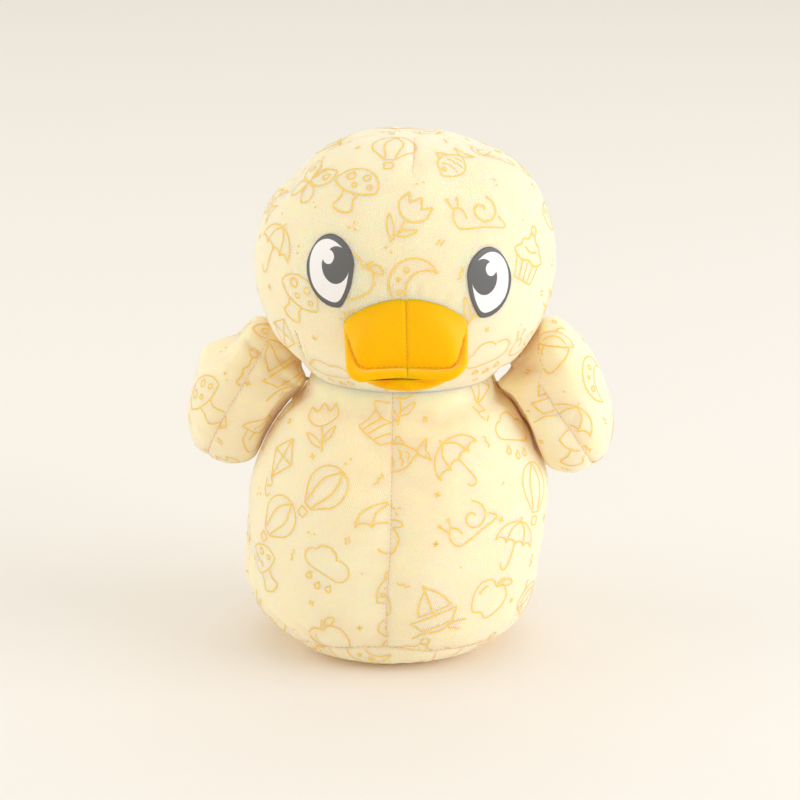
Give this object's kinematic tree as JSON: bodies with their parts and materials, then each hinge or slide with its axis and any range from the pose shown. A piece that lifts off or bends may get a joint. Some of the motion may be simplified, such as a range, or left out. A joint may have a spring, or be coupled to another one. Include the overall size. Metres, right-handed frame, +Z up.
{
  "type": "plush duck",
  "caption": "Stuffed sitting plush duck with printed cotton covers, padded bill, printed film eyes, a neck that turns and springs back, and two soft wings that flap.",
  "frame": {"origin": "centre of the flat base, on the surface the duck sits on", "axes": "+Z up, -Y the way the duck's body faces, +X the duck's own left"},
  "size_m": [0.2454, 0.1977, 0.301],
  "materials": {
    "printed_cotton": "pale cream cotton twill with an orange line print",
    "bill_cotton": "warm yellow-orange cotton twill",
    "eye_film": "semi-gloss printed transfer film, dark grey on white",
    "stuffing": "white polyester fibre, not seen"
  },
  "bodies": {
    "body": {"body_filling": "stuffing", "base_panel": "printed_cotton", "body_front_left": "printed_cotton", "body_front_right": "printed_cotton", "body_back_left": "printed_cotton", "body_back_right": "printed_cotton"},
    "head": {"head_filling": "stuffing", "face_panel": "printed_cotton", "head_back_left": "printed_cotton", "head_back_right": "printed_cotton", "eye_left": "eye_film", "eye_right": "eye_film", "bill_top_left": "bill_cotton", "bill_top_right": "bill_cotton", "bill_filling": "stuffing", "bill_underside": "bill_cotton", "lower_bill": "bill_cotton"},
    "left_wing": {"left_wing_outer": "printed_cotton", "left_wing_inner": "printed_cotton", "left_wing_filling": "stuffing"},
    "right_wing": {"right_wing_outer": "printed_cotton", "right_wing_inner": "printed_cotton", "right_wing_filling": "stuffing"}
  },
  "joints": [
    {"name": "head_turn", "type": "hinge", "parent": "body", "child": "head", "pos_m": [0.005, 0, 0.1625], "axis": [0, 0, 1], "range_deg": [-12, 12], "stiffness_Nm_per_rad": 0.3},
    {"name": "left_wing_swing", "type": "hinge", "parent": "body", "child": "left_wing", "pos_m": [0.06139, 0.002, 0.155], "axis": [1, 0, 0], "range_deg": [-40, 25], "stiffness_Nm_per_rad": 0.02},
    {"name": "right_wing_swing", "type": "hinge", "parent": "body", "child": "right_wing", "pos_m": [-0.05271, 0.002, 0.155], "axis": [1, 0, 0], "range_deg": [-40, 25], "stiffness_Nm_per_rad": 0.02}
  ]
}
